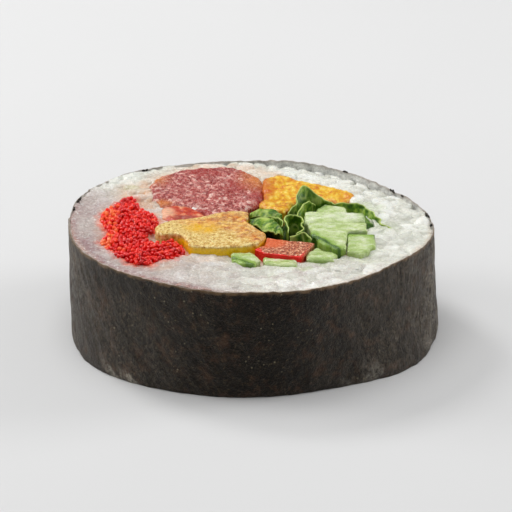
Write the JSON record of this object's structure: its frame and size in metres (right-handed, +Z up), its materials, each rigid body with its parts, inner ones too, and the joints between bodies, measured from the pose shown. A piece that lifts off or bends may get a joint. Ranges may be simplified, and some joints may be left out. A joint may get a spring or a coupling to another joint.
{
  "type": "futomaki",
  "caption": "Thick round slice of futomaki, cut face up: nori round rice, with fish roe, minced fish, omelette, egg, lettuce, cucumber and red pepper showing at the cut.",
  "frame": {"origin": "middle of the slice's footprint, on the lower cut face", "axes": "+Z up through the upper cut face, +Y away from the side the picture shows, +X to its right"},
  "size_m": [0.0604, 0.0602, 0.0212],
  "materials": {
    "nori": "damp dried seaweed, dull with a grey sheen",
    "rice": "moist cooked rice, slightly translucent",
    "roe": "wet, shiny red eggs",
    "tuna": "wet minced fish with fine glints",
    "fish": "moist orange-red fish",
    "omelette": "soft, finely porous omelette",
    "egg": "moist folded egg",
    "lettuce": "fresh leaf with pale veins",
    "cucumber": "wet pale flesh with green skin",
    "pepper": "wet red skin with a paler cut face"
  },
  "bodies": {
    "root": {"nori": "nori", "rice": "rice", "roe": "roe", "tuna": "tuna", "fish_chunk": "fish", "omelette": "omelette", "egg_sheet": "egg", "red_pepper": "pepper", "cucumber_back": "cucumber", "cucumber_long": "cucumber", "cucumber_front": "cucumber", "cucumber_right": "cucumber", "cucumber_sliver": "cucumber", "cucumber_skin": "cucumber", "cucumber_low": "cucumber", "lettuce_heart": "lettuce", "lettuce_tall": "lettuce", "lettuce_inner": "lettuce", "lettuce_left": "lettuce", "lettuce_middle": "lettuce", "lettuce_front": "lettuce", "lettuce_curl": "lettuce", "lettuce_edge": "lettuce"}
  },
  "joints": []
}
